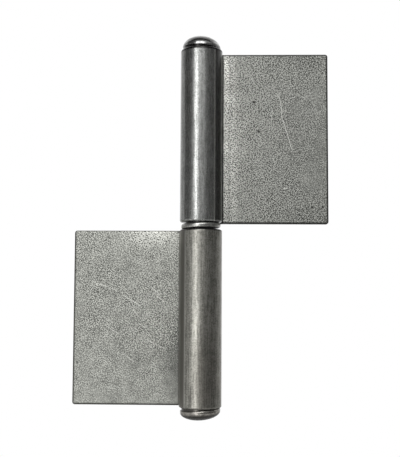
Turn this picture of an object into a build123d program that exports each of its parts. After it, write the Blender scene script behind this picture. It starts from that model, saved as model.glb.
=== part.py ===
from build123d import *

import math
import os

# Weld-on flag hinge in bare steel. Two equal leaves of thick sheet, each with one edge rolled
# into a knuckle, stand end to end on one pin, with a loose ring between the knuckles.
# The frame has +Z up the pin and its origin on the pin's axis, at half the height of the ring.
# The hinge lies open: the leaves point to +X and -X, their backs are level with the back of the
# knuckles, and the knuckles stand out towards -Y.

# Sheet that the leaves are cut and rolled from
SHEET = 3.2
EDGE_ROUND = 0.8

# Leaves, measured from the pin's axis and along it
LEAF_REACH = 50.5
LEAF_HEIGHT = 68.6
LEAF_CORNER = 1.0
SEAM_GAP = 0.3

# Pin, pressed into the lower knuckle and free in the upper one
PIN_DIAMETER = 10.0
RUNNING_CLEARANCE = 0.05
TIP_CLEARANCE = 20.0
TIP_CHAMFER = 1.5

# Loose ring that carries the upper knuckle: the knuckles bear on its hub, and its rim stands
# clear of them
RING_HEIGHT = 2.8
RING_HUB_WALL = 1.2
RING_SETBACK = 0.55
RIM_CLEAR_ABOVE = 0.3
RIM_CLEAR_BELOW = 0.65
RIM_ROUND = 0.8

# Domed heads of the pin and of the plug that closes the upper knuckle, both a little way off
# the end of their knuckle
HEAD_SETBACK = 0.6
HEAD_STANDOFF = 0.5
HEAD_UNDER_ROUND = 0.4
PIN_HEAD_BAND = 2.2
PIN_HEAD_DOME = 2.2
PIN_HEAD_SHOULDER = 2.2
CAP_BAND = 1.4
CAP_DOME = 3.8
CAP_SHOULDER = 1.2
PLUG_LENGTH = 12.0
PLUG_CHAMFER = 1.0

# Sizes that follow from the values above
pin_radius = PIN_DIAMETER / 2
bore_radius = pin_radius + RUNNING_CLEARANCE
knuckle_radius = bore_radius + SHEET
hub_radius = bore_radius + RING_HUB_WALL
rim_radius = knuckle_radius - RING_SETBACK
head_radius = knuckle_radius - HEAD_SETBACK
ring_top = RING_HEIGHT / 2
knuckle_end = ring_top + LEAF_HEIGHT
head_seat = knuckle_end + HEAD_STANDOFF
pin_tip = knuckle_end - PLUG_LENGTH - TIP_CLEARANCE


def sheet_section():
    """The leaf and its curl, seen along the pin: one strip of even thickness.

    The strip runs straight along the back, then round the pin until its free edge is a seam's
    width from the front of the leaf.
    """
    seam_angle = math.degrees(math.asin((bore_radius - SEAM_GAP) / knuckle_radius))
    back = 90
    turn = 360 + seam_angle - back
    with BuildSketch(Plane.XY) as section:
        with BuildLine():
            outer = CenterArc((0, 0), knuckle_radius, back, turn)
            inner = CenterArc((0, 0), bore_radius, back, turn)
            Line(outer @ 1, inner @ 1)
            Polyline(
                outer @ 0,
                (LEAF_REACH, knuckle_radius),
                (LEAF_REACH, bore_radius),
                inner @ 0,
            )
        make_face()
    return section.sketch


def rolled_leaf():
    """The upper leaf: the strip at full height, with its outline tumbled round.

    Each broad face runs into the knuckle along its innermost edge, which stays as it is.
    """
    leaf = Pos(0, 0, ring_top) * extrude(sheet_section(), LEAF_HEIGHT)
    corners = leaf.edges().filter_by(Axis.Y).group_by(Axis.X)[-1]
    leaf = fillet(corners, LEAF_CORNER)
    broad_faces = leaf.faces().filter_by(Plane.XZ).sort_by(Axis.Y)
    outline = [edge for face in broad_faces for edge in face.edges().sort_by(Axis.X)[1:]]
    return fillet(outline, EDGE_ROUND)


def domed_head(band, dome, shoulder):
    """A round head that sits on the XY plane: a straight band and a dome, with a round between."""
    crown = band + dome
    dome_radius = (head_radius**2 + dome**2) / (2 * dome)
    with BuildSketch(Plane.XZ) as half:
        with BuildLine():
            Polyline((0, crown), (0, 0), (head_radius, 0), (head_radius, band))
            RadiusArc((head_radius, band), (0, crown), -dome_radius)
        make_face()
        lower_rim, upper_rim = half.vertices().group_by(Axis.X)[-1].sort_by(Axis.Z)
        fillet(lower_rim, HEAD_UNDER_ROUND)
        fillet(upper_rim, shoulder)
    return revolve(half.sketch, Axis.Z)


def post(radius, bottom, top, tip_chamfer):
    """A round bar on the Z axis with a chamfer at its top end."""
    bar = Pos(0, 0, bottom) * Cylinder(
        radius, top - bottom, align=(Align.CENTER, Align.CENTER, Align.MIN)
    )
    tip = bar.edges().filter_by(GeomType.CIRCLE).sort_by(Axis.Z)[-1]
    return chamfer(tip, tip_chamfer)


def hinge_pin():
    """A full shank in the lower knuckle, a slimmer journal above it and a head below."""
    head = domed_head(PIN_HEAD_BAND, PIN_HEAD_DOME, PIN_HEAD_SHOULDER)
    head = Pos(0, 0, -head_seat) * Rot(180, 0, 0) * head
    shank = Pos(0, 0, -head_seat) * Cylinder(
        bore_radius, head_seat - ring_top, align=(Align.CENTER, Align.CENTER, Align.MIN)
    )
    journal = post(pin_radius, -ring_top, pin_tip, TIP_CHAMFER)
    return head + shank + journal


def top_cap():
    """The head on the upper knuckle with the plug that holds it in the bore."""
    head = Pos(0, 0, head_seat) * domed_head(CAP_BAND, CAP_DOME, CAP_SHOULDER)
    plug = Rot(180, 0, 0) * post(bore_radius, -head_seat, PLUG_LENGTH - knuckle_end, PLUG_CHAMFER)
    return head + plug


def bearing_ring():
    """The loose ring: a hub as high as the gap between the knuckles, and a rounded rim."""
    rim_height = RING_HEIGHT - RIM_CLEAR_ABOVE - RIM_CLEAR_BELOW
    rim = Cylinder(rim_radius, rim_height)
    rim = fillet(rim.edges().filter_by(GeomType.CIRCLE), RIM_ROUND)
    rim = Pos(0, 0, (RIM_CLEAR_BELOW - RIM_CLEAR_ABOVE) / 2) * rim
    return Cylinder(hub_radius, RING_HEIGHT) + rim - Cylinder(bore_radius, RING_HEIGHT)


upper_leaf = rolled_leaf()
nodes = {
    "upper_leaf": upper_leaf,
    "lower_leaf": Rot(0, 180, 0) * upper_leaf,
    "hinge_pin": hinge_pin(),
    "bearing_ring": bearing_ring(),
    "top_cap": top_cap(),
}

os.makedirs("parts", exist_ok=True)
for name, solid in nodes.items():
    export_step(solid, f"parts/{name}.step")
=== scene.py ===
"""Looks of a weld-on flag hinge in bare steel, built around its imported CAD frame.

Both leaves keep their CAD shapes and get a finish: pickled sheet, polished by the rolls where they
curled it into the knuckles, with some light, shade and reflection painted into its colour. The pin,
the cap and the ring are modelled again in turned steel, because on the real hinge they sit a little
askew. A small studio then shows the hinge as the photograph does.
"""

import logging
import math
from collections.abc import Iterable, Mapping, Sequence
from dataclasses import dataclass
from enum import Enum
from functools import reduce
from typing import Any

import bmesh
import bpy
from mathutils import Matrix, Vector


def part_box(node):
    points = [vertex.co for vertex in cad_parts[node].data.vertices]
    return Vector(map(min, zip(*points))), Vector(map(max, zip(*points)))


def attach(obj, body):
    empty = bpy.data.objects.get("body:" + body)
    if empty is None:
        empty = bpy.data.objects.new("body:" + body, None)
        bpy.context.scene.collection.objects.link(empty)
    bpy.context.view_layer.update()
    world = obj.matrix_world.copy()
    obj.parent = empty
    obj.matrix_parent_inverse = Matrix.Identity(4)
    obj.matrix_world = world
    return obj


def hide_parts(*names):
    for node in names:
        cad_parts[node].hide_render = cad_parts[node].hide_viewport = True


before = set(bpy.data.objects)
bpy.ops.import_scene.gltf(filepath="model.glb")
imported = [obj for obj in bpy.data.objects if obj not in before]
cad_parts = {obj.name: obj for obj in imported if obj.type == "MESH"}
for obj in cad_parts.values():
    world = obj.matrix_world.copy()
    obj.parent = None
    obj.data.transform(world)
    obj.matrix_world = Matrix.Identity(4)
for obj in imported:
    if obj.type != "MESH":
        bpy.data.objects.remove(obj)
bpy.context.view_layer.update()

# Blender works in metres, and the sizes below are in millimetres
MM = 0.001
IMAGE_HEIGHT = 457

# Meshes of the turned pieces: sides of a round, rings of a dome, steps of a head's and the ring's
# rounded rim, the angle in degrees from which an edge looks sharp, and how close counts as touching
ROUND_SIDES = 96
DOME_RINGS = 48
LIP_STEPS = 4
RIM_STEPS = 6
SHARP_FROM = 40
CLOSE = 1e-3

log = logging.getLogger("hinge")

Place = tuple[float, float]
Span = tuple[float, float]
Linked = bpy.types.Node | bpy.types.NodeSocket


def linear(colour: str) -> tuple[float, float, float, float]:
    """Turns an sRGB colour into the linear one that a shader takes.

    Args:
        colour: a hash sign and six hex digits.

    Returns:
        Linear red, green and blue, and an alpha of 1.
    """
    channels = [int(colour[place : place + 2], 16) / 255 for place in (1, 3, 5)]
    red, green, blue = (
        c / 12.92 if c <= 0.04045 else ((c + 0.055) / 1.055) ** 2.4 for c in channels
    )
    return red, green, blue, 1.0


def between(none: float, full: float) -> dict[str, float]:
    """Names the values at which a Map Range node gives none and all of its effect."""
    return {"From Min": none, "From Max": full}


class Graph:
    """The shader nodes of one material or world."""

    def __init__(self, owner: bpy.types.Material | bpy.types.World) -> None:
        """Takes over the owner's node tree and empties it."""
        owner.use_nodes = True
        self.owner = owner
        self.tree = owner.node_tree
        self.tree.nodes.clear()

    def add(
        self, kind: str, inputs: Mapping[str, Any] | Sequence[Any] = (), **settings: Any
    ) -> bpy.types.Node:
        """Adds one node with its settings and links.

        Args:
            kind: Blender's name for the kind of node, without its first part.
            inputs: for each input, by name or in order, a plain value, a socket, or a node whose
                first live output is linked.
            settings: attributes of the node.

        Returns:
            The new node.
        """
        node = self.tree.nodes.new(f"ShaderNode{kind}")
        for name, value in settings.items():
            setattr(node, name, value)
        named = isinstance(inputs, Mapping)
        live = {socket.name: socket for socket in reversed(node.inputs) if socket.enabled}
        for key, value in inputs.items() if named else enumerate(inputs):
            socket = live[key] if named else node.inputs[key]
            if isinstance(value, bpy.types.Node):
                value = next(output for output in value.outputs if output.enabled)
            if isinstance(value, bpy.types.NodeSocket):
                self.tree.links.new(value, socket)
            else:
                socket.default_value = value
        return node

    def scaled(self, value: Linked | float, *shares: Linked | float) -> Linked | float:
        """Scales a value by one share after another.

        Args:
            value: a mask, a height or a swing.
            shares: what it is multiplied by.

        Returns:
            The scaled value.
        """
        for share in shares:
            value = self.add("Math", (value, share), operation="MULTIPLY")
        return value


class Half(Enum):
    """The two halves of the hinge: one shape, which the lower half turns end for end about Y."""

    UPPER = 0.0
    LOWER = math.pi


@dataclass(frozen=True)
class LeafSizes:
    """A leaf's sizes in millimetres, in the upper half's layout: X out from the pin, Z up it."""

    knuckle: float
    reach: float
    foot: float
    top: float

    @classmethod
    def of(cls, node: str) -> "LeafSizes":
        """Reads the sizes of a leaf from the frame.

        Args:
            node: name of the leaf's CAD node.

        Returns:
            The leaf's sizes.
        """
        low, high = (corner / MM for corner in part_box(node))
        return cls(
            knuckle=high.y,
            reach=max(high.x, -low.x),
            foot=min(abs(low.z), abs(high.z)),
            top=max(abs(low.z), abs(high.z)),
        )


@dataclass(frozen=True)
class Stroke:
    """A scratch or a nick on a leaf.

    Its ends are millimetres out from the pin and up along it, in the leaf's own layout. The bow is
    how far its middle swings off the straight line, and strength goes from a trace, 0, to a cut, 1.
    The core is the share of its width at full strength, and the taper how soon its ends reach that.
    """

    start: Place
    end: Place
    strength: float
    bow: float = 0.0
    width: float = 0.35
    core: float = 0.3
    taper: float = 0.3

    def mask(self, graph: "SheetGraph") -> Linked:
        """Adds the nodes of the stroke.

        Args:
            graph: nodes of the leaf's finish.

        Returns:
            The stroke's strength along its middle line, fading to 0 at its sides and ends.
        """
        run = Vector(self.end) - Vector(self.start)
        along = graph.add(
            "Mapping",
            {
                "Vector": graph.own,
                "Location": (self.start[0], 0, self.start[1]),
                "Rotation": (0, -math.atan2(run.y, run.x), 0),
                "Scale": (run.length, 1, self.width / 2),
            },
            vector_type="TEXTURE",
        )
        part = graph.add("SeparateXYZ", {"Vector": along})
        from_middle = graph.add("Math", (part.outputs["X"], 2.0, -1.0), operation="MULTIPLY_ADD")
        square = graph.scaled(from_middle, from_middle)
        inside = graph.add("Math", (1.0, square), operation="SUBTRACT", use_clamp=True)
        swing = graph.add(
            "Math",
            (inside, -2 * self.bow / self.width, part.outputs["Z"]),
            operation="MULTIPLY_ADD",
        )
        off = graph.add("Math", (swing,), operation="ABSOLUTE")
        across = graph.add(
            "MapRange", {"Value": off, "To Max": self.strength} | between(1.0, self.core)
        )
        ends = graph.add("MapRange", {"Value": inside} | between(0.0, self.taper))
        return graph.scaled(across, ends)


@dataclass(frozen=True)
class Patch:
    """A soft oval area on a leaf, through its whole thickness.

    Its middle and its half sizes are in millimetres, as for a stroke.
    """

    middle: Place
    reach: Place
    strength: float
    depth: float = 1e6

    def mask(self, graph: "SheetGraph") -> Linked:
        """Adds the nodes of the oval.

        Args:
            graph: nodes of the leaf's finish.

        Returns:
            The oval's strength at its middle, fading to 0 at its rim.
        """
        centred = graph.add(
            "Mapping",
            {
                "Vector": graph.own,
                "Location": (self.middle[0], 0, self.middle[1]),
                "Scale": (self.reach[0], self.depth, self.reach[1]),
            },
            vector_type="TEXTURE",
        )
        off = graph.add("VectorMath", (centred,), operation="LENGTH")
        return graph.add(
            "MapRange",
            {"Value": off, "To Max": self.strength} | between(1.0, 0.0),
            interpolation_type="SMOOTHSTEP",
        )


@dataclass(frozen=True)
class RolledSheet:
    """Hot-rolled sheet steel, pickled and tumbled, with one edge rolled into a knuckle.

    Pickling leaves the plate a dull grey with a fine, worm-like grain of shallow pits. The rolls
    burnish the knuckle, so it gleams in a line along its length and shows faint streaks that way.
    Pits, grain and streaks are finer on the real sheet and are drawn as coarse as a pixel needs.
    Sizes are in millimetres, and a span goes from where an effect is nil to where it is full.
    """

    name: str
    half: Half
    sizes: LeafSizes
    pit_colour: str
    crest_colour: str
    knuckle_dark: str
    knuckle_light: str

    # Marks: bright scratches, dark gouges, painted light and painted shade, areas worn smooth, and
    # a painted reflection, darker and browner, on the knuckle
    scratches: tuple[Stroke, ...] = ()
    gouges: tuple[Stroke, ...] = ()
    rubbed: tuple[Patch, ...] = ()
    stained: tuple[Patch, ...] = ()
    worn: tuple[Patch, ...] = ()
    tarnished: tuple[Patch, ...] = ()
    scratch_colour: str = "#e9e9e4"
    scratch_depth: float = 0.03
    gouge_colour: str = "#2b2a28"
    # Painted highlight: flecks where the painted light is strongest, and the gleam on the lip's
    # corner
    burnish_colour: str = "#e2e2dc"
    # Painted reflection: a darker, browner patch on the knuckle
    tarnish_colour: str = "#5a554e"

    # Where the plate's finish begins beside the knuckle, and the round edge of its two faces, which
    # is painted dark: partly dark scale, partly painted shade
    sheet: float = 3.2
    plate_from: Span = (0.02, 0.25)
    edge_colour: str = "#424240"
    edge_width: float = 1.0
    edge_core: float = 0.35
    edge_depth: Span = (0.2, 0.35)
    foot_edge: float = 1.0

    # Painted shade at the knuckle's ends, beside the cap and the ring, and painted shadow in its
    # seam
    grime_colour: str = "#2a2928"
    grime_width: float = 0.2
    foot_grime: float = -0.3
    grime_fade: float = 0.25
    seam_colour: str = "#242322"
    seam_width: float = 0.5
    seam_fade: float = 0.2

    # Free edge of the curl: painted shade on the flat beside the seam, and a painted highlight on
    # its corner
    lip: float = 5.4
    lip_colour: str = "#595958"
    lip_fade: float = 0.2
    lip_shade: Span = (-0.8, -3.8)
    lip_gleam: float = 0.45
    gleam_width: Span = (0.35, 0.1)

    # Grain of the plate, which is sharper in some areas than in others
    grain: float = 0.41
    grain_turn: float = 0.6
    grain_shift: float = 20.0
    grain_contrast: float = 2.5
    grain_depth: float = 0.05
    blotch: float = 3.0
    smooth_area: float = 9.0
    smooth_span: Span = (0.32, 0.62)
    smooth_contrast: Span = (0.65, 1.45)
    face_from: Span = (0.1, 0.7)
    edge_contrast: float = 0.3
    cloud: float = 22.0
    pit_spacing: float = 4.2
    pit_width: float = 0.5
    pit_core: float = 0.3
    pit_depth: float = 0.05
    plate_roughness: float = 0.66

    # Tone of the plate, from its pits, 0, to its crests, 1
    tone_middle: float = 0.42
    tone_power: float = 2.0
    blotch_tone: float = 0.4
    cloud_tone: float = 0.17
    # Painted light and painted shade lift and lower the tone
    rubbed_tone: float = 0.17
    stained_tone: float = -0.25
    pit_tone: float = -0.5

    # Painted highlight flecks where the painted light is strongest
    bright_span: Span = (0.4, 1.0)
    bright_contrast: float = 0.6
    fleck_span: Span = (0.25, 0.8)
    patchy_span: Span = (0.3, 0.6)
    patchy_least: float = 0.5
    bright_roughness: float = -0.3

    # Streaks and slow waves along the knuckle
    streak: float = 0.45
    streak_length: float = 9.0
    streak_depth: float = 0.012
    streak_contrast: float = 1.45
    streak_roughness: float = -0.2
    speckle: float = 0.5
    wave: float = 3.0
    wave_length: float = 13.0
    wave_depth: float = 0.1
    knuckle_blotch: float = 0.3
    knuckle_speckle: float = 0.6
    knuckle_middle: float = 0.95
    knuckle_spread: float = 0.25
    knuckle_roughness: float = 0.27

    @property
    def core(self) -> float:
        """How far the middle of the plate's thickness lies behind the pin's axis."""
        return self.sizes.knuckle - self.sheet / 2

    def material(self) -> bpy.types.Material:
        """Builds the finish."""
        return SheetGraph(self).build()


class SheetGraph(Graph):
    """The shader nodes of a leaf's finish."""

    def __init__(self, sheet: RolledSheet) -> None:
        """Starts the material, with the nodes of its places, patterns and marks."""
        super().__init__(bpy.data.materials.new(sheet.name))
        self.sheet = sheet
        self.add_places()
        self.add_patterns()
        self.add_marks()

    def add_places(self) -> None:
        """Adds millimetres in the leaf's own layout, and masks of the leaf's main parts."""
        sheet, sizes = self.sheet, self.sheet.sizes
        self.own = self.add(
            "Mapping",
            {
                "Vector": self.add("TexCoord").outputs["Object"],
                "Rotation": (0, sheet.half.value, 0),
                "Scale": (1 / MM, 1 / MM, 1 / MM),
            },
        )
        self.x, self.y, self.z = self.add("SeparateXYZ", {"Vector": self.own}).outputs
        level = self.add("VectorMath", (self.own, (1, 1, 0)), operation="MULTIPLY")
        self.plate = self.add(
            "MapRange",
            {"Value": self.add("VectorMath", (level,), operation="LENGTH")}
            | between(*(sizes.knuckle + past for past in sheet.plate_from)),
            interpolation_type="SMOOTHSTEP",
        )
        self.knuckle = self.add("Math", (1.0, self.plate), operation="SUBTRACT")
        self.front = self.add("Math", (self.y, sheet.core), operation="LESS_THAN")
        self.above_foot = self.add("Math", (self.z, sizes.foot), operation="SUBTRACT")
        self.below_top = self.add("Math", (sizes.top, self.z), operation="SUBTRACT")
        self.to_edge = reduce(
            lambda one, other: self.add("Math", (one, other), operation="MINIMUM"),
            (
                self.add("Math", (sizes.reach, self.x), operation="SUBTRACT"),
                self.add("Math", (self.above_foot, sheet.foot_edge), operation="DIVIDE"),
                self.below_top,
            ),
        )

    def add_patterns(self) -> None:
        """Adds the noises that the grain, the blotches, the pits and the streaks come from."""
        sheet = self.sheet
        seed = {"Vector": self.own, "W": sheet.half.value}
        # The grain lies flat on the plate, and across its thickness it draws out like shear marks.
        # It is turned so that the noise's own lattice runs along none of the plate's edges
        level = self.add(
            "Mapping",
            {
                "Vector": self.add("CombineXYZ", {"X": self.x, "Y": self.z}),
                "Location": (sheet.grain_shift * sheet.half.value, 0, 0),
                "Rotation": (0, 0, sheet.grain_turn),
            },
        )
        self.grain = self.add(
            "TexNoise",
            {"Vector": level, "Scale": 1 / sheet.grain, "Detail": 0.0, "Distortion": 0.3},
            noise_dimensions="2D",
        )
        self.speckle, self.blotch, self.smooth, self.cloud = (
            self.add(
                "TexNoise",
                seed | {"Scale": 1 / size, "Detail": detail},
                noise_dimensions="4D",
            )
            for size, detail in (
                (sheet.speckle, 1.0),
                (sheet.blotch, 2.0),
                (sheet.smooth_area, 2.0),
                (sheet.cloud, 2.0),
            )
        )
        self.streaks, self.waves = (
            self.add(
                "TexNoise",
                {
                    "Vector": self.add(
                        "Mapping",
                        {"Vector": self.own, "Scale": (1 / width, 1 / width, 1 / length)},
                    ),
                    "W": sheet.half.value,
                    "Scale": 1.0,
                    "Detail": detail,
                    "Roughness": roughness,
                },
                noise_dimensions="4D",
            )
            for width, length, detail, roughness in (
                (sheet.streak, sheet.streak_length, 4.0, 0.65),
                (sheet.wave, sheet.wave_length, 1.0, 0.5),
            )
        )
        rim = sheet.pit_width / sheet.pit_spacing
        spots = self.add(
            "TexVoronoi", seed | {"Scale": 1 / sheet.pit_spacing}, voronoi_dimensions="4D"
        )
        self.pits = self.add("MapRange", {"Value": spots} | between(rim, sheet.pit_core * rim))

    def add_marks(self) -> None:
        """Adds marks, painted light, shade and reflection on the side the knuckles stand out on."""
        sheet = self.sheet
        kinds = (sheet.scratches, sheet.gouges, sheet.rubbed, sheet.stained, sheet.tarnished)
        self.scratches, self.gouges, self.rubbed, self.stained, tarnished = (
            self.scaled(self.strongest(marks), self.front) for marks in kinds
        )
        self.tarnished = self.scaled(tarnished, self.knuckle)
        self.bright = self.add("MapRange", {"Value": self.rubbed} | between(*sheet.bright_span))

    def strongest(self, marks: Iterable[Stroke | Patch]) -> Linked | float:
        """Adds the nodes of marks and joins them.

        Args:
            marks: strokes or patches.

        Returns:
            The strongest mark at each point, or 0 where there are no marks.
        """
        return reduce(
            lambda one, other: self.add("Math", (one, other), operation="MAXIMUM"),
            (mark.mask(self) for mark in marks),
            0.0,
        )

    def edge(self) -> Linked:
        """Adds the round edge of the plate's two faces, painted dark: partly scale, partly painted
        shade.

        Returns:
            Its mask.
        """
        sheet = self.sheet
        at_outline = self.add(
            "MapRange",
            {"Value": self.to_edge}
            | between(sheet.edge_width, sheet.edge_core * sheet.edge_width),
            interpolation_type="SMOOTHSTEP",
        )
        behind = self.add("Math", (self.y, sheet.core), operation="SUBTRACT")
        off_core = self.add("Math", (behind,), operation="ABSOLUTE")
        at_face = self.add(
            "MapRange",
            {"Value": off_core} | between(*(share * sheet.sheet for share in sheet.edge_depth)),
        )
        return self.scaled(at_outline, self.plate, at_face)

    def lip(self) -> tuple[Linked, Linked]:
        """Adds the free edge of the curl.

        Returns:
            The masks of the painted shade on its flat and of the painted highlight on its corner.
        """
        sheet = self.sheet
        on_flat = self.add(
            "MapRange",
            {"Value": self.x} | between(sheet.lip - sheet.lip_fade, sheet.lip + sheet.lip_fade),
        )
        at_front = self.add("MapRange", {"Value": self.y} | between(*sheet.lip_shade))
        past = self.add("Math", (self.x, sheet.lip), operation="SUBTRACT")
        off = self.add("Math", (past,), operation="ABSOLUTE")
        corner = self.add(
            "MapRange", {"Value": off, "To Max": sheet.lip_gleam} | between(*sheet.gleam_width)
        )
        return (
            self.scaled(on_flat, self.knuckle, at_front),
            self.scaled(corner, self.knuckle, self.front),
        )

    def dirt(self) -> tuple[Linked, Linked]:
        """Adds the painted shade beside the knuckle.

        Returns:
            The masks of the painted shadow in the seam and the painted shade at the knuckle's ends.
        """
        sheet = self.sheet
        seam_end = sheet.sizes.knuckle + sheet.seam_width
        seam = self.add(
            "MapRange",
            {"Value": self.x} | between(seam_end + sheet.seam_fade, seam_end - sheet.seam_fade),
        )
        at_top, at_foot = (
            self.add(
                "MapRange",
                {"Value": away} | between(width + sheet.grime_fade, width - sheet.grime_fade),
            )
            for away, width in (
                (self.below_top, sheet.grime_width),
                (self.above_foot, sheet.foot_grime),
            )
        )
        grime = self.add("Math", (at_top, at_foot), operation="MAXIMUM")
        return self.scaled(seam, self.plate, self.front), self.scaled(grime, self.knuckle)

    def grain_swing(self) -> Linked:
        """Adds the grain, as sharp as each area shows it.

        Returns:
            The swing from pit to crest, about 0.
        """
        sheet = self.sheet
        soft, sharp = sheet.smooth_contrast
        contrast = self.add(
            "MapRange",
            {"Value": self.smooth, "To Min": soft, "To Max": sharp} | between(*sheet.smooth_span),
        )
        on_face = self.add(
            "MapRange",
            {"Value": self.to_edge, "To Min": sheet.edge_contrast} | between(*sheet.face_from),
        )
        left = self.add("Math", (1.0, self.strongest(sheet.worn)), operation="SUBTRACT")
        sharper = self.add(
            "Math", (self.bright, sheet.bright_contrast, 1.0), operation="MULTIPLY_ADD"
        )
        off_middle = self.add("Math", (self.grain, 0.5), operation="SUBTRACT")
        return self.scaled(off_middle, contrast, on_face, left, sharper)

    def plate_tone(self, swing: Linked) -> Linked:
        """Adds how light the plate is.

        Args:
            swing: the grain.

        Returns:
            The tone, from pit to crest.
        """
        sheet = self.sheet
        tone = sheet.tone_middle
        # Painted light and painted shade lift and lower the tone here too
        for mask, gain in (
            (swing, sheet.grain_contrast),
            (self.blotch, sheet.blotch_tone),
            (self.cloud, sheet.cloud_tone),
            (self.rubbed, sheet.rubbed_tone),
            (self.stained, sheet.stained_tone),
            (self.pits, sheet.pit_tone),
        ):
            tone = self.add("Math", (mask, gain, tone), operation="MULTIPLY_ADD")
        # Crests are narrower than pits, so the light flecks are sharper than the dark ones
        tone = self.add("Math", (tone, 0.0), operation="MAXIMUM")
        return self.add("Math", (tone, sheet.tone_power), operation="POWER")

    def burnished(self, tone: Linked) -> Linked:
        """Adds the painted highlight flecks where the painted light is strongest.

        Args:
            tone: how light the plate is.

        Returns:
            The flecks' mask.
        """
        sheet = self.sheet
        flecks = self.add("MapRange", {"Value": tone} | between(*sheet.fleck_span))
        patchy = self.add(
            "MapRange",
            {"Value": self.blotch, "To Min": sheet.patchy_least} | between(*sheet.patchy_span),
        )
        return self.scaled(flecks, self.bright, patchy, self.plate)

    def colour(self, tone: Linked, burnished: Linked) -> Linked:
        """Adds the colour of plate and knuckle, with the marks and painted light and shade on both.

        Args:
            tone: how light the plate is.
            burnished: the plate's painted highlight flecks.

        Returns:
            The colour.
        """
        sheet = self.sheet
        knuckle_tone = self.streaks
        for mask, gain in (
            (self.blotch, sheet.knuckle_blotch),
            (self.speckle, sheet.knuckle_speckle),
        ):
            knuckle_tone = self.add("Math", (mask, gain, knuckle_tone), operation="MULTIPLY_ADD")
        spread = sheet.knuckle_spread / sheet.streak_contrast
        knuckle_tone = self.add(
            "MapRange",
            {"Value": knuckle_tone}
            | between(sheet.knuckle_middle - spread, sheet.knuckle_middle + spread),
        )
        knuckle, plate = (
            self.add(
                "Mix", {"Factor": factor, "A": linear(dark), "B": linear(light)}, data_type="RGBA"
            )
            for factor, dark, light in (
                (knuckle_tone, sheet.knuckle_dark, sheet.knuckle_light),
                (tone, sheet.pit_colour, sheet.crest_colour),
            )
        )
        colour = self.add("Mix", {"Factor": self.plate, "A": knuckle, "B": plate}, data_type="RGBA")
        lip_shade, lip_gleam = self.lip()
        seam, grime = self.dirt()
        # Painted highlight, painted reflection and painted shade go over the colour, then gouges
        # and scratches
        for mask, paint in (
            (burnished, sheet.burnish_colour),
            (self.tarnished, sheet.tarnish_colour),
            (lip_shade, sheet.lip_colour),
            (lip_gleam, sheet.burnish_colour),
            (self.edge(), sheet.edge_colour),
            (seam, sheet.seam_colour),
            (grime, sheet.grime_colour),
            (self.gouges, sheet.gouge_colour),
            (self.scratches, sheet.scratch_colour),
        ):
            colour = self.add(
                "Mix", {"Factor": mask, "A": colour, "B": linear(paint)}, data_type="RGBA"
            )
        return colour

    def roughness(self, burnished: Linked) -> Linked:
        """Adds the roughness: dull on the plate, and glossier on the knuckle and the flecks.

        Args:
            burnished: the plate's painted highlight flecks, which are also glossier.

        Returns:
            The roughness.
        """
        sheet = self.sheet
        rough = self.add(
            "MapRange",
            {
                "Value": self.plate,
                "To Min": sheet.knuckle_roughness,
                "To Max": sheet.plate_roughness,
            },
        )
        off_middle = self.add("Math", (self.streaks, 0.5), operation="SUBTRACT")
        for mask, gain in (
            (off_middle, sheet.streak_roughness),
            (burnished, sheet.bright_roughness),
        ):
            rough = self.add("Math", (mask, gain, rough), operation="MULTIPLY_ADD")
        return rough

    def relief(self, swing: Linked) -> Linked:
        """Adds the height of the surface.

        Args:
            swing: the grain.

        Returns:
            The height in millimetres.
        """
        sheet = self.sheet
        streaks = self.scaled(self.streaks, sheet.streak_depth)
        knuckle = self.add(
            "Math", (self.waves, sheet.wave_depth, streaks), operation="MULTIPLY_ADD"
        )
        plate = self.scaled(swing, sheet.grain_depth)
        height = self.add("Mix", {"Factor": self.plate, "A": knuckle, "B": plate})
        for mask, depth in (
            (self.pits, sheet.pit_depth),
            (self.scratches, sheet.scratch_depth),
            (self.gouges, sheet.scratch_depth),
        ):
            height = self.add("Math", (mask, -depth, height), operation="MULTIPLY_ADD")
        return height

    def build(self) -> bpy.types.Material:
        """Adds the steel itself.

        Returns:
            The finished material.
        """
        swing = self.grain_swing()
        tone = self.plate_tone(swing)
        burnished = self.burnished(tone)
        steel = self.add(
            "BsdfPrincipled",
            {
                "Base Color": self.colour(tone, burnished),
                "Metallic": 1.0,
                "Roughness": self.roughness(burnished),
                "Normal": self.add(
                    "Bump", {"Height": self.relief(swing), "Strength": 1.0, "Distance": MM}
                ),
            },
        )
        self.add("OutputMaterial", {"Surface": steel})
        return self.owner


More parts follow.
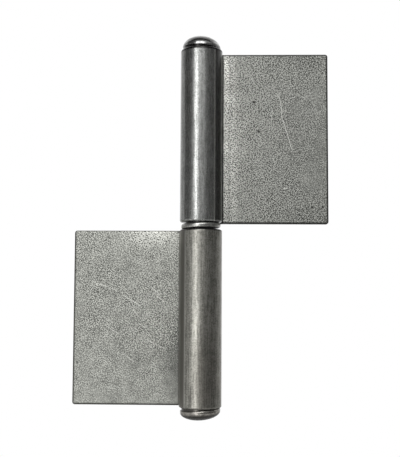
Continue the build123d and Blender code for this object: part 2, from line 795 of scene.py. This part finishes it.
@dataclass(frozen=True)
class TurnedSteel:
    """Mild steel bar, turned and headed cold, then handled bare.

    Turning leaves fine rings round the axis, heading leaves the surface a little uneven, so that
    reflections wander on it, and the narrow gaps beside it are painted with shade. Rings and mottle
    are finer on the real steel and are drawn as coarse as a pixel needs. Sizes are in millimetres,
    and the gap is what lies inside its radius and further along the axis than where it begins.
    """

    name: str
    dark: str
    light: str
    gap_radius: float
    gap_from: float = 0.0
    gap_colour: str = "#383736"
    gap_fade: float = 0.6
    gap_ends: Span = (1.0, 0.5)
    ring_pitch: float = 0.5
    ring_depth: float = 0.006
    ring_tone: float = 0.4
    mottle: float = 1.3
    mottle_span: Span = (0.3, 0.7)
    tone_span: Span = (0.5, 0.9)
    unevenness: float = 4.5
    uneven_depth: float = 0.12
    roughness: float = 0.3
    roughness_swing: Span = (0.08, -0.06)

    def material(self) -> bpy.types.Material:
        """Builds the finish.

        Returns:
            The new material.
        """
        graph = Graph(bpy.data.materials.new(self.name))
        add = graph.add
        own = add(
            "Mapping",
            {"Vector": add("TexCoord").outputs["Object"], "Scale": (1 / MM, 1 / MM, 1 / MM)},
        )
        level = add("VectorMath", (own, (1, 1, 0)), operation="MULTIPLY")
        off_axis = add("VectorMath", (level,), operation="LENGTH")
        height = add("SeparateXYZ", {"Vector": own}).outputs["Z"]
        rings = add(
            "TexNoise",
            {
                "Vector": add("CombineXYZ", {"X": off_axis, "Y": height}),
                "Scale": 1 / self.ring_pitch,
                "Detail": 2.0,
            },
            noise_dimensions="2D",
        )
        mottle = add("TexNoise", {"Vector": own, "Scale": 1 / self.mottle, "Detail": 3.0})
        uneven = add("TexNoise", {"Vector": own, "Scale": 1 / self.unevenness, "Detail": 1.0})

        gap = add(
            "MapRange",
            {"Value": off_axis} | between(self.gap_radius + self.gap_fade, self.gap_radius),
            interpolation_type="SMOOTHSTEP",
        )
        at_head = add(
            "MapRange",
            {"Value": add("Math", (height,), operation="ABSOLUTE")}
            | between(*(self.gap_from - before for before in self.gap_ends)),
        )
        gap = graph.scaled(gap, at_head)

        tone = add("Math", (rings, self.ring_tone, mottle), operation="MULTIPLY_ADD")
        tone = add("MapRange", {"Value": tone} | between(*self.tone_span))
        colour = add(
            "Mix",
            {"Factor": tone, "A": linear(self.dark), "B": linear(self.light)},
            data_type="RGBA",
        )
        # Painted shade in the gap beside the head
        colour = add(
            "Mix", {"Factor": gap, "A": colour, "B": linear(self.gap_colour)}, data_type="RGBA"
        )
        dullest, glossiest = (self.roughness + swing for swing in self.roughness_swing)
        roughness = add(
            "MapRange",
            {"Value": mottle, "To Min": dullest, "To Max": glossiest} | between(*self.mottle_span),
        )
        # Only the head was struck, and the journal in the other knuckle is smooth
        uneven = graph.scaled(uneven, at_head)
        relief = graph.scaled(rings, self.ring_depth)
        relief = add("Math", (uneven, self.uneven_depth, relief), operation="MULTIPLY_ADD")
        bump = add("Bump", {"Height": relief, "Strength": 1.0, "Distance": MM})
        steel = add(
            "BsdfPrincipled",
            {"Base Color": colour, "Metallic": 1.0, "Roughness": roughness, "Normal": bump},
        )
        add("OutputMaterial", {"Surface": steel})
        return graph.owner


@dataclass(frozen=True)
class TurnedPiece:
    """A piece of turned steel that stands for its CAD node."""

    node: str
    body: str
    slot: str
    finish: TurnedSteel

    def height_span(self) -> Span:
        """Reads the piece's lowest and highest point from the frame, in millimetres."""
        low, high = (corner.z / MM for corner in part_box(self.node))
        return low, high

    def finished(self, shape: bmesh.types.BMesh) -> bpy.types.Object:
        """Makes the piece of a shape in millimetres, which is used up.

        Args:
            shape: the closed shape.

        Returns:
            The piece with its finish, on its body.
        """
        bmesh.ops.recalc_face_normals(shape, faces=shape.faces)
        bmesh.ops.scale(shape, vec=(MM, MM, MM), verts=shape.verts)
        for face in shape.faces:
            face.smooth = True
        name = f"{self.node}_shape"
        mesh = bpy.data.meshes.new(name)
        shape.to_mesh(mesh)
        shape.free()
        mesh.set_sharp_from_angle(angle=math.radians(SHARP_FROM))
        mesh.materials.append(self.finish.material())
        piece = bpy.data.objects.new(name, mesh)
        bpy.context.scene.collection.objects.link(piece)
        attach(piece, self.body)
        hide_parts(self.node)
        return piece


@dataclass(frozen=True)
class HeadedBar(TurnedPiece):
    """A round bar with a domed head, driven a little askew into the outer end of a knuckle.

    Sizes are in millimetres in the upper half's layout, with the head at the top. The neck is the
    short collar that keeps the head off the knuckle, and the journal, where there is one, is the
    slimmer run that the other knuckle turns on. The lean is in degrees, towards X, and the crown's
    clearance keeps the leaning dome inside the CAD node's height.
    """

    half: Half
    sizes: LeafSizes
    head: float
    neck: float
    band: float
    lean: float
    chamfer: float
    bar: float = 5.05
    journal: float | None = None
    lip_round: float = 0.35
    lip_clearance: float = 0.03
    crown_clearance: float = 0.1

    @property
    def base(self) -> float:
        """Height of the middle of the head's underside, whose low side just clears the knuckle."""
        drop = self.head * math.sin(math.radians(abs(self.lean)))
        return self.sizes.top + self.lip_clearance + drop

    def corners(self, end: float) -> list[Place]:
        """Lists the corners of the outline below the dome, down to the bar's far end.

        Args:
            end: height of the far end.

        Returns:
            The radius and height of each corner.
        """
        seat = self.sizes.top
        path = [(self.head, self.base), (self.neck, self.base), (self.neck, seat), (self.bar, seat)]
        last = self.bar
        if self.journal is not None:
            path += [(self.bar, self.sizes.foot), (self.journal, self.sizes.foot)]
            last = self.journal
        return path + [(last, end + self.chamfer), (last - self.chamfer, end)]

    def build(self) -> bpy.types.Object:
        """Models the bar from its dome downwards, leans its head over and gives it its finish.

        Returns:
            The piece.
        """
        low, high = self.height_span()
        end, top = (low, high) if self.half is Half.UPPER else (-high, -low)
        radius, height = self.head, self.base + self.band
        dome = top - height - self.crown_clearance
        shape = bmesh.new()
        bmesh.ops.create_uvsphere(shape, u_segments=ROUND_SIDES, v_segments=DOME_RINGS, radius=1.0)
        bmesh.ops.bisect_plane(
            shape,
            geom=shape.verts[:] + shape.edges[:] + shape.faces[:],
            dist=CLOSE,
            plane_co=(0, 0, 0),
            plane_no=(0, 0, 1),
            clear_inner=True,
        )
        bmesh.ops.scale(shape, vec=(radius, radius, dome), verts=shape.verts)
        bmesh.ops.translate(shape, vec=(0, 0, height), verts=shape.verts)
        rims = [[edge for edge in shape.edges if edge.is_boundary]]
        for new_radius, new_height in self.corners(end):
            drawn = bmesh.ops.extrude_edge_only(shape, edges=rims[-1])["geom"]
            verts = [item for item in drawn if isinstance(item, bmesh.types.BMVert)]
            wider = new_radius / radius
            bmesh.ops.scale(shape, vec=(wider, wider, 1), verts=verts)
            bmesh.ops.translate(shape, vec=(0, 0, new_height - height), verts=verts)
            rims.append([edge for edge in shape.edges if edge.is_boundary])
            radius, height = new_radius, new_height
        bmesh.ops.edgeloop_fill(shape, edges=rims[-1])
        bmesh.ops.bevel(
            shape,
            geom=rims[1],
            offset=self.lip_round,
            affect="EDGES",
            segments=LIP_STEPS,
            profile=0.5,
            material=-1,
        )
        bmesh.ops.rotate(
            shape,
            cent=(0, 0, self.base),
            matrix=Matrix.Rotation(math.radians(self.lean), 3, "Y"),
            verts=[vert for vert in shape.verts if vert.co.z > self.base - CLOSE],
        )
        bmesh.ops.rotate(shape, matrix=Matrix.Rotation(self.half.value, 3, "Y"), verts=shape.verts)
        return self.finished(shape)


@dataclass(frozen=True)
class HingeHalf:
    """A leaf with its knuckle, and the headed bar that is pressed into the knuckle."""

    leaf: str
    leaf_finish: RolledSheet
    headed: HeadedBar

    def build(self) -> list[bpy.types.Object]:
        """Gives the leaf's CAD node its finish and builds the bar.

        Returns:
            Both pieces.
        """
        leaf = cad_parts[self.leaf]
        leaf.material_slots[0].material = self.leaf_finish.material()
        return [leaf, self.headed.build()]


@dataclass(frozen=True)
class BearingRing(TurnedPiece):
    """The loose ring between the knuckles: a rounded washer that sits askew on a short hub.

    Sizes are in millimetres, and the lean is in degrees, towards X.
    """

    bore: float = 5.06
    hub: float = 6.0
    rim: float = 7.7
    rim_height: float = 2.05
    rim_round: float = 0.8
    lean: float = -2.4

    def washer(self, shape: bmesh.types.BMesh, outer: float, height: float) -> None:
        """Spins one square-edged washer round the axis.

        Args:
            shape: the mesh that gets it.
            outer: its outer radius.
            height: its height.
        """
        section = [
            shape.verts.new((across, 0, up))
            for across, up in (
                (self.bore, -height / 2),
                (outer, -height / 2),
                (outer, height / 2),
                (self.bore, height / 2),
            )
        ]
        loop = [
            shape.edges.new((one, other)) for one, other in zip(section, section[1:] + section[:1])
        ]
        bmesh.ops.spin(
            shape,
            geom=section + loop,
            cent=(0, 0, 0),
            axis=(0, 0, 1),
            angle=math.tau,
            steps=ROUND_SIDES,
            use_merge=True,
        )

    def on_rim(self, edge: bmesh.types.BMEdge) -> bool:
        """Tells whether an edge runs round the rim at its outer radius.

        Args:
            edge: an edge of the rim's washer.

        Returns:
            True for an edge to round.
        """
        one, other = (vert.co for vert in edge.verts)
        far_out = min(one.xy.length, other.xy.length) > self.rim - CLOSE
        return far_out and abs(one.z - other.z) < CLOSE

    def build(self) -> list[bpy.types.Object]:
        """Models the ring and gives it its finish.

        Returns:
            The one piece.
        """
        low, high = self.height_span()
        shape = bmesh.new()
        self.washer(shape, self.rim, self.rim_height)
        bmesh.ops.bevel(
            shape,
            geom=[edge for edge in shape.edges if self.on_rim(edge)],
            offset=self.rim_round,
            affect="EDGES",
            segments=RIM_STEPS,
            profile=0.5,
            material=-1,
        )
        bmesh.ops.rotate(
            shape, matrix=Matrix.Rotation(math.radians(self.lean), 3, "Y"), verts=shape.verts
        )
        self.washer(shape, self.hub, high - low)
        bmesh.ops.remove_doubles(shape, verts=shape.verts, dist=CLOSE)
        return [self.finished(shape)]


@dataclass(frozen=True)
class Panel:
    """A flat panel of the studio that faces the hinge.

    Its direction is seen from the hinge: azimuth 0 is towards the camera and 90 to the right of it,
    in degrees. Distance, width and height are in metres.
    """

    name: str
    azimuth: float
    elevation: float
    distance: float
    width: float
    height: float

    def placing(self) -> Matrix:
        """Works out where the panel stands.

        Returns:
            The matrix that takes a panel on the XY plane, lit side down, to its place.
        """
        turn = math.radians(self.azimuth)
        rise = math.radians(self.elevation)
        out = Vector(
            (math.sin(turn) * math.cos(rise), -math.cos(turn) * math.cos(rise), math.sin(rise))
        )
        facing = (-out).to_track_quat("-Z", "Y").to_matrix().to_4x4()
        return Matrix.Translation(out * self.distance) @ facing


@dataclass(frozen=True)
class SoftBox(Panel):
    """A soft lamp as large as its panel, with its power in watts."""

    power: float = 1.0

    def build(self) -> bpy.types.Object:
        """Makes the lamp.

        Returns:
            The lamp's object.
        """
        lamp = bpy.data.lights.new(self.name, "AREA")
        lamp.shape = "RECTANGLE"
        lamp.size = self.width
        lamp.size_y = self.height
        lamp.energy = self.power
        box = bpy.data.objects.new(self.name, lamp)
        box.matrix_world = self.placing()
        box.visible_camera = False
        bpy.context.scene.collection.objects.link(box)
        return box


@dataclass(frozen=True)
class Paper:
    """Matt studio paper. Lit from behind, it is plain white to the eye and in reflections."""

    name: str
    colour: str
    backlit: bool = False

    def material(self) -> bpy.types.Material:
        """Builds the finish.

        Returns:
            The new material.
        """
        graph = Graph(bpy.data.materials.new(self.name))
        surface = graph.add("BsdfDiffuse", {"Color": linear(self.colour)})
        if self.backlit:
            path = graph.add("LightPath").outputs
            rays = ("Is Camera Ray", "Is Glossy Ray", "Is Transmission Ray")
            seen = reduce(
                lambda one, other: graph.add("Math", (one, other), operation="MAXIMUM"),
                (path[ray] for ray in rays),
            )
            white = graph.add("Emission", {"Color": linear("#ffffff"), "Strength": 1.0})
            surface = graph.add("MixShader", (seen, surface, white))
            # Only a ray that meets the paper sees it white, so no light is sampled from it
            graph.owner.cycles.emission_sampling = "NONE"
        graph.add("OutputMaterial", {"Surface": surface})
        return graph.owner


PALE = Paper("pale_paper", "#e8e8e6")
BACKLIT = Paper("backlit_paper", "#f4f4f2", backlit=True)
BLACK = Paper("black_card", "#303030")
GREY = Paper("grey_card", "#7c7c7c")
PALE_GREY = Paper("pale_grey_card", "#a8a8a8")


@dataclass(frozen=True)
class PaperSheet(Panel):
    """A flat sheet of studio paper, which may show in reflections alone."""

    paper: Paper = PALE
    to_camera: bool = True

    def build(self) -> bpy.types.Object:
        """Makes the sheet.

        Returns:
            The sheet's object, which is part of the stage.
        """
        shape = bmesh.new()
        bmesh.ops.create_grid(shape, x_segments=1, y_segments=1, size=0.5)
        bmesh.ops.scale(shape, vec=(self.width, self.height, 1), verts=shape.verts)
        bmesh.ops.transform(shape, matrix=self.placing(), verts=shape.verts)
        mesh = bpy.data.meshes.new(self.name)
        shape.to_mesh(mesh)
        shape.free()
        mesh.materials.append(self.paper.material())
        sheet = bpy.data.objects.new(self.name, mesh)
        sheet.visible_camera = self.to_camera
        sheet.visible_shadow = self.to_camera
        bpy.context.scene.collection.objects.link(sheet)
        return sheet


@dataclass(frozen=True)
class Camera:
    """The camera at the photograph's angle: its place in millimetres, and its turns in radians."""

    place: tuple[float, float, float] = (9.56, -330.3, -27.3)
    pitch: float = 0.0797
    yaw: float = 0.03
    roll: float = -0.0052
    focal_pixels: float = 846.6
    nearest: float = 10.0

    def build(self) -> bpy.types.Object:
        """Makes the scene's camera.

        Returns:
            The camera's object.
        """
        lens = bpy.data.cameras.new("camera")
        lens.lens = self.focal_pixels / IMAGE_HEIGHT * lens.sensor_width
        lens.clip_start = self.nearest * MM
        camera = bpy.data.objects.new("camera", lens)
        turn = (
            Matrix.Rotation(self.yaw, 4, "Z")
            @ Matrix.Rotation(self.pitch, 4, "X")
            @ Matrix.Rotation(self.roll, 4, "Y")
            @ Matrix.Rotation(math.pi / 2, 4, "X")
        )
        camera.matrix_world = Matrix.Translation(Vector(self.place) * MM) @ turn
        bpy.context.scene.collection.objects.link(camera)
        bpy.context.scene.camera = camera
        return camera


@dataclass(frozen=True)
class Studio:
    """Pale floor, white backdrop, soft lamps, dark cards that shape the reflections, camera."""

    world_colour: str = "#cecece"
    panels: tuple[SoftBox | PaperSheet, ...] = (
        PaperSheet("floor", 0, -90, 0.3, 6.0, 6.0),
        PaperSheet("backdrop", 180, 0, 0.6, 1.1, 0.8, BACKLIT),
        PaperSheet("right_card", 63, 0, 0.5, 0.85, 1.0, GREY, to_camera=False),
        PaperSheet("left_card", -76, 32, 0.5, 0.5, 0.6, GREY, to_camera=False),
        PaperSheet("low_card", 14, -9.5, 0.5, 0.29, 0.19, BLACK, to_camera=False),
        PaperSheet("top_card", 0, 87, 0.45, 0.7, 0.18, BLACK, to_camera=False),
        PaperSheet("bottom_card", 180, -75, 0.215, 0.45, 0.6, PALE_GREY, to_camera=False),
        SoftBox("key", -26.5, 4, 0.62, 0.15, 0.8, power=1.7),
        SoftBox("top_light", -4, 40, 1.6, 1.2, 0.7, power=15.0),
        SoftBox("back_light", 180, 58, 0.8, 1.2, 0.7, power=3.0),
    )

    def build(self) -> list[bpy.types.Object]:
        """Builds the studio and sets how the picture is shown.

        Returns:
            The studio's objects.
        """
        scene = bpy.context.scene
        scene.view_settings.view_transform = "Standard"
        scene.world = bpy.data.worlds.new("studio")
        graph = Graph(scene.world)
        light = graph.add("Background", {"Color": linear(self.world_colour), "Strength": 1.0})
        graph.add("OutputWorld", {"Surface": light})
        return [panel.build() for panel in self.panels] + [Camera().build()]


def upper_half() -> HingeHalf:
    """Gives the upper half its marks, its cap and its sizes.

    Returns:
        The half that lifts off, whose leaf gets painted light beside the knuckle.
    """
    sizes = LeafSizes.of("upper_leaf")
    finish = RolledSheet(
        "pickled_sheet_upper",
        Half.UPPER,
        sizes,
        pit_colour="#343532",
        crest_colour="#a9aaa5",
        knuckle_dark="#6f706e",
        knuckle_light="#a4a5a3",
        # Painted shade on the knuckle's top, under the cap
        grime_width=1.1,
        scratches=(
            Stroke((30.6, 54.2), (32.0, 44.0), 0.45, bow=0.4),
            Stroke((31.9, 44.5), (35.9, 31.4), 0.52, bow=0.2),
            Stroke((18.9, 44.0), (17.3, 39.9), 0.35),
            Stroke((28.5, 47.2), (27.7, 42.8), 0.35),
            Stroke((28.2, 57.4), (29.3, 54.6), 0.3),
            Stroke((32.3, 15.4), (34.4, 15.7), 0.6),
            Stroke((28.5, 28.2), (29.3, 25.0), 0.3),
        ),
        gouges=(
            Stroke((20.3, 50.7), (21.5, 50.3), 0.9, width=1.2),
            Stroke((22.2, 38.9), (23.6, 38.4), 0.75, width=1.0),
            Stroke((43.4, 8.3), (44.4, 7.9), 0.9, width=1.0),
            Stroke((47.7, 8.3), (48.7, 7.9), 0.9, width=1.0),
        ),
        # Painted light: lighter beside the knuckle, fading away from it
        rubbed=(
            Patch((9.2, 44.0), (3.2, 95.0), 1.7),
            Patch((11.5, 36.0), (8.0, 130.0), 0.7),
            Patch((8.0, 36.0), (34.0, 80.0), 0.55),
        ),
        # Painted shade: darker towards the far corners
        stained=(
            Patch((42.0, 72.0), (26.0, 15.0), 0.5),
            Patch((48.0, 0.0), (26.0, 15.0), 0.35),
        ),
        worn=(Patch((54.0, 30.0), (38.0, 80.0), 0.68),),
    )
    cap = HeadedBar(
        node="top_cap",
        body="upper_half",
        slot="cap_steel",
        finish=TurnedSteel(
            "headed_steel_cap",
            "#6f6f6e",
            "#a4a4a3",
            # Painted shade in the gap under the cap
            gap_radius=6.7,
            gap_from=70.0,
            roughness=0.22,
        ),
        half=Half.UPPER,
        sizes=sizes,
        head=7.5,
        neck=6.6,
        band=0.1,
        lean=5.0,
        chamfer=1.0,
    )
    return HingeHalf("upper_leaf", finish, cap)


def lower_half() -> HingeHalf:
    """Gives the lower half its marks, its pin and its sizes.

    Returns:
        The half that is fixed, whose leaf is scratched across and whose knuckle is duller.
    """
    sizes = LeafSizes.of("lower_leaf")
    finish = RolledSheet(
        "pickled_sheet_lower",
        Half.LOWER,
        sizes,
        pit_colour="#3f403d",
        crest_colour="#bdbeb8",
        knuckle_dark="#706f6a",
        knuckle_light="#a3a29b",
        # Painted shade here is lighter than on the upper half: on the round edges (partly dark
        # scale), at the knuckle's foot by the ring, in the seam and on the lip's flat
        edge_colour="#4f4f4b",
        foot_edge=0.4,
        grime_width=-0.3,
        foot_grime=0.55,
        seam_colour="#54524e",
        lip=5.9,
        lip_colour="#716f6a",
        lip_gleam=0.22,
        grain_contrast=1.42,
        streak_contrast=1.7,
        wave_depth=0.18,
        knuckle_roughness=0.39,
        scratches=(
            Stroke((42.1, 22.3), (33.3, 25.5), 0.44, bow=0.4),
            Stroke((40.8, 28.3), (39.6, 29.8), 0.38),
            Stroke((30.6, 27.2), (23.7, 31.3), 0.56),
            Stroke((26.9, 32.6), (24.8, 35.2), 0.48),
            Stroke((20.2, 23.3), (16.6, 26.6), 0.48),
            Stroke((17.6, 27.2), (14.2, 29.8), 0.52),
            Stroke((39.9, 34.8), (34.8, 37.6), 0.36),
            Stroke((37.5, 39.1), (32.0, 42.7), 0.4),
            Stroke((24.5, 38.3), (20.6, 40.3), 0.4),
            Stroke((21.6, 44.2), (13.6, 48.0), 0.4, bow=-0.3),
            Stroke((39.0, 44.0), (36.6, 42.4), 0.4),
            Stroke((31.6, 49.4), (25.7, 53.4), 0.34),
        ),
        gouges=(
            Stroke((38.9, 61.3), (32.6, 62.6), 0.4, bow=0.6, width=0.6),
            Stroke((48.9, 52.9), (48.5, 54.2), 0.6, width=0.9),
            Stroke((17.7, 19.6), (17.1, 20.7), 0.7, width=1.0),
        ),
        # Painted light: a sheen along the edge by the ring, and lighter towards the bottom
        rubbed=(
            Patch((20.0, 2.5), (30.0, 13.0), 0.7),
            Patch((38.0, 70.0), (36.0, 34.0), 0.35),
        ),
        # Painted shade beside the knuckle, where it blocks the light
        stained=(Patch((9.0, 50.0), (9.0, 24.0), 0.8),),
        worn=(
            Patch((30.0, 78.0), (60.0, 34.0), 0.8),
            Patch((8.0, 62.0), (18.0, 28.0), 0.85),
            Patch((52.0, 36.0), (14.0, 60.0), 0.35),
        ),
        # Painted reflection: darker and browner on the knuckle's lit side
        tarnished=(Patch((-2.0, 60.0), (7.0, 34.0), 0.45),),
    )
    pin = HeadedBar(
        node="hinge_pin",
        body="lower_half",
        slot="pin_steel",
        finish=TurnedSteel(
            "headed_steel_pin",
            "#7c7975",
            "#b8b5ae",
            gap_radius=7.2,
            gap_from=70.0,
            # Painted shade in the gap under the head
            gap_colour="#4c4a47",
        ),
        half=Half.LOWER,
        sizes=sizes,
        head=7.75,
        neck=7.2,
        band=0.9,
        lean=-3.8,
        chamfer=1.5,
        journal=5.0,
        lip_clearance=0.1,
    )
    return HingeHalf("lower_leaf", finish, pin)


def main() -> None:
    """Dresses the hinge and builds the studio."""
    logging.basicConfig(level=logging.INFO, format="%(name)s: %(message)s")
    ring = BearingRing(
        node="bearing_ring",
        body="ring",
        slot="ring_steel",
        # Painted shade on the hub, in the gaps above and below the rim
        finish=TurnedSteel("worn_ring_steel", "#757573", "#b4b4b0", gap_radius=6.4),
    )
    for assembly in (lower_half(), ring, upper_half()):
        for piece in assembly.build():
            log.info("%s wears %s", piece.name, piece.active_material.name)
    for piece in Studio().build():
        log.info("studio has %s", piece.name)


if __name__ == "__main__":
    main()
